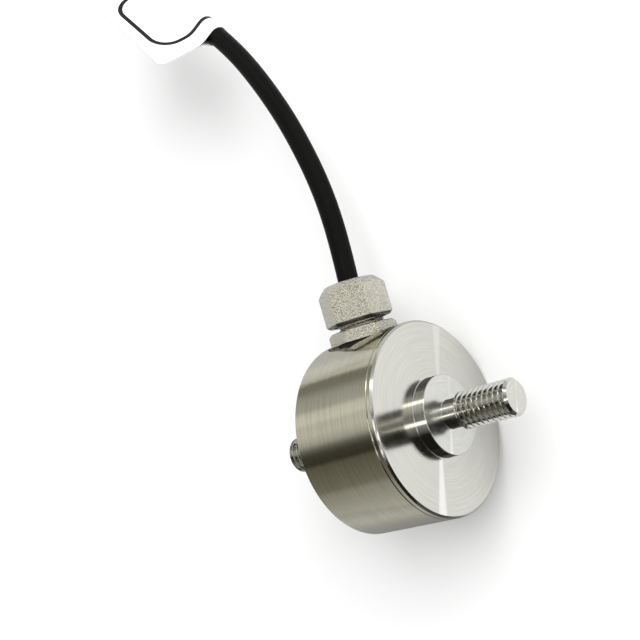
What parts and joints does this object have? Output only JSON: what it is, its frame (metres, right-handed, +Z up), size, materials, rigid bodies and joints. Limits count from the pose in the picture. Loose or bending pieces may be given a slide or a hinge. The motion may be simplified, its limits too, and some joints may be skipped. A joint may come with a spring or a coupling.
{
  "type": "in-line load cell",
  "caption": "Round steel load cell for pull and push, with a threaded stud on each end, a side cable gland, a coiled cable with stripped leads and a bare flag tag.",
  "frame": {"origin": "on the stud axis, in the plane of the body's rear face, where the rear hub starts", "axes": "+X along the stud axis towards the front stud, +Y along the cable gland, +Z up as the cell lies on the curved side of its body"},
  "size_m": [0.0835, 0.1874, 0.032],
  "materials": {
    "turned_steel": "turned stainless steel, fine lathe lines, bright edges",
    "nickel_plate": "nickel plating over brass, bright and slightly grainy",
    "cable_jacket": "black cable jacket, satin",
    "black_rubber": "black rubber, matt",
    "tie_plastic": "black nylon, matt",
    "tag_film": "white film, smooth",
    "gauge_foil": "amber film with metal foil",
    "silicone": "white silicone, soft satin",
    "enamelled_copper": "enamelled copper wire",
    "board_laminate": "green glass-fibre laminate",
    "resistor_body": "lacquered ceramic",
    "core_red": "red insulation",
    "core_green": "green insulation",
    "core_white": "white insulation",
    "core_black": "black insulation",
    "tinned_wire": "tinned copper strands",
    "shrink_sleeve": "black shrink sleeve, satin"
  },
  "bodies": {
    "root": {"housing": "turned_steel", "sensing_element": "turned_steel", "strain_gauge_1": "gauge_foil", "strain_gauge_2": "gauge_foil", "strain_gauge_3": "gauge_foil", "strain_gauge_4": "gauge_foil", "gauge_coating": "silicone", "gauge_leads_1": "enamelled_copper", "gauge_leads_2": "enamelled_copper", "gauge_leads_3": "enamelled_copper", "gauge_leads_4": "enamelled_copper", "terminal_board": "board_laminate", "trim_resistor_1": "resistor_body", "trim_resistor_2": "resistor_body", "trim_resistor_3": "resistor_body", "inner_core_red": "core_red", "inner_core_green": "core_green", "inner_core_white": "core_white", "inner_core_black": "core_black", "strain_tie": "tie_plastic", "cable_entry": "cable_jacket", "gland_gasket": "black_rubber", "gland_body": "nickel_plate", "gland_bush": "black_rubber", "gland_slip_ring": "nickel_plate", "gland_cap": "nickel_plate", "cable": "cable_jacket", "flag_tag": "tag_film", "cable_coil": "cable_jacket", "coil_tie_1": "tie_plastic", "coil_tie_2": "tie_plastic", "cable_tail": "cable_jacket", "end_sleeve": "shrink_sleeve", "lead_red": "core_red", "lead_green": "core_green", "lead_white": "core_white", "lead_black": "core_black", "lead_shield": "tinned_wire"}
  },
  "joints": []
}
